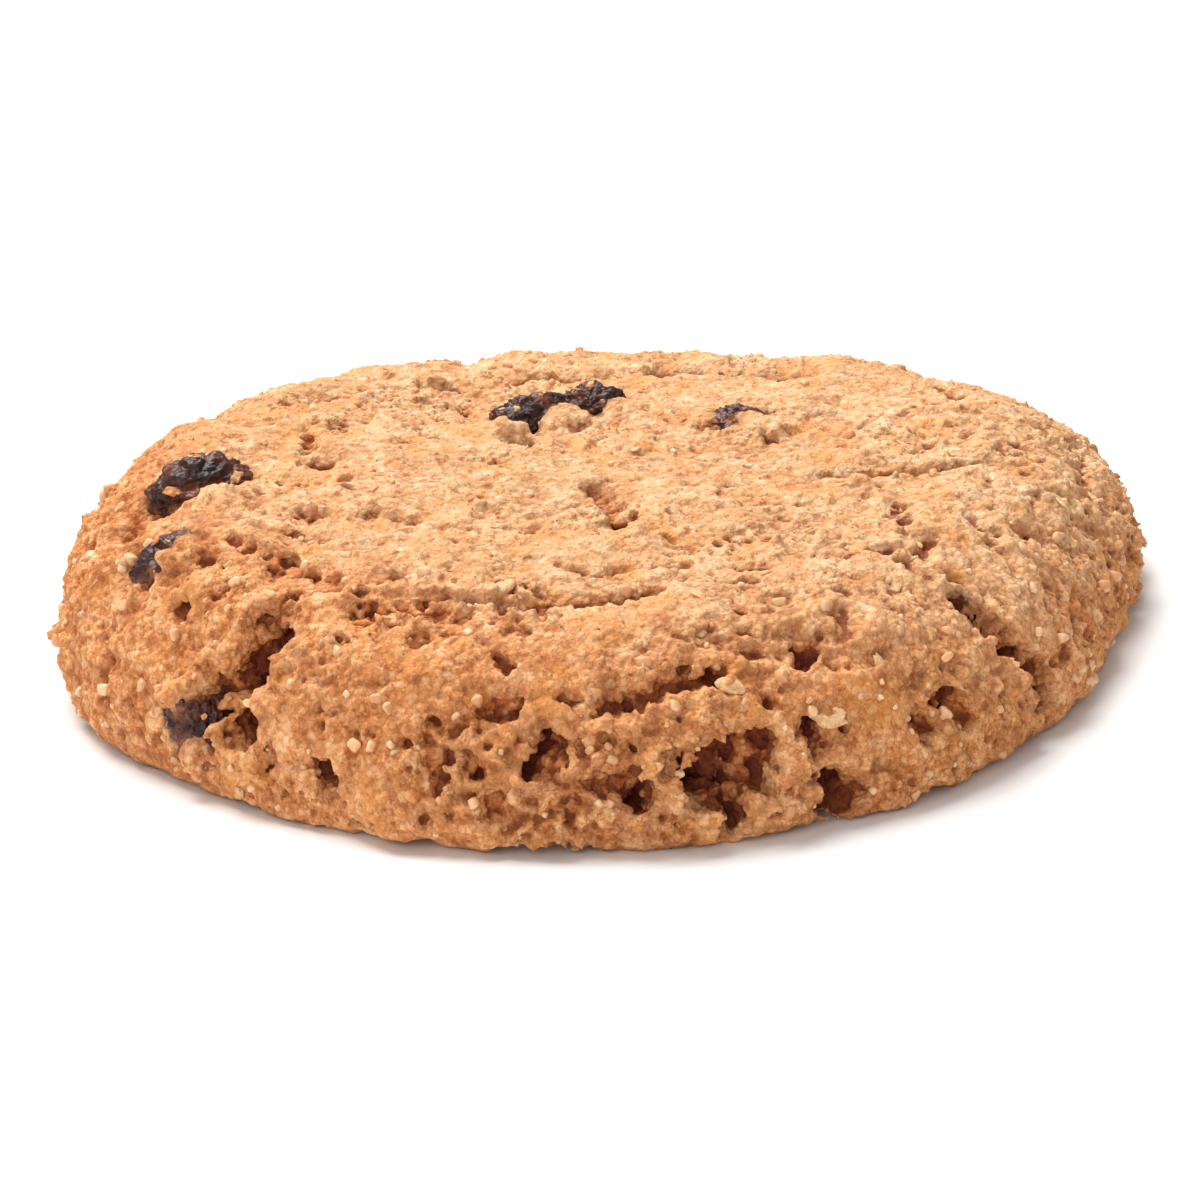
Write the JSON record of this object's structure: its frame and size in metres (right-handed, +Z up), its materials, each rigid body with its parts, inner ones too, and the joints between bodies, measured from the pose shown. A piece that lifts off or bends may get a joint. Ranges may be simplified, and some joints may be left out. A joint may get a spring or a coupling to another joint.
{
  "type": "oatmeal raisin cookie",
  "caption": "Thick round oatmeal raisin cookie with a cracked, grainy golden-brown crust and dark wrinkled raisins; lies flat on its underside.",
  "frame": {"origin": "middle of the underside's footprint, on the surface that the cookie lies on", "axes": "+Z up through the cookie's thickness; the side that faces the viewer looks along -Y, and +X is to the viewer's right"},
  "size_m": [0.0788, 0.0816, 0.0173],
  "materials": {
    "baked_dough": "dry, porous baked crumb",
    "raisin_skin": "wrinkled, slightly glossy dried skin"
  },
  "bodies": {
    "root": {"cookie_dough": "baked_dough", "raisin_upper_left": "raisin_skin", "raisin_left_edge": "raisin_skin", "raisin_front_crevice": "raisin_skin", "raisin_back_left": "raisin_skin", "raisin_back_right": "raisin_skin", "raisin_right": "raisin_skin"}
  },
  "joints": []
}
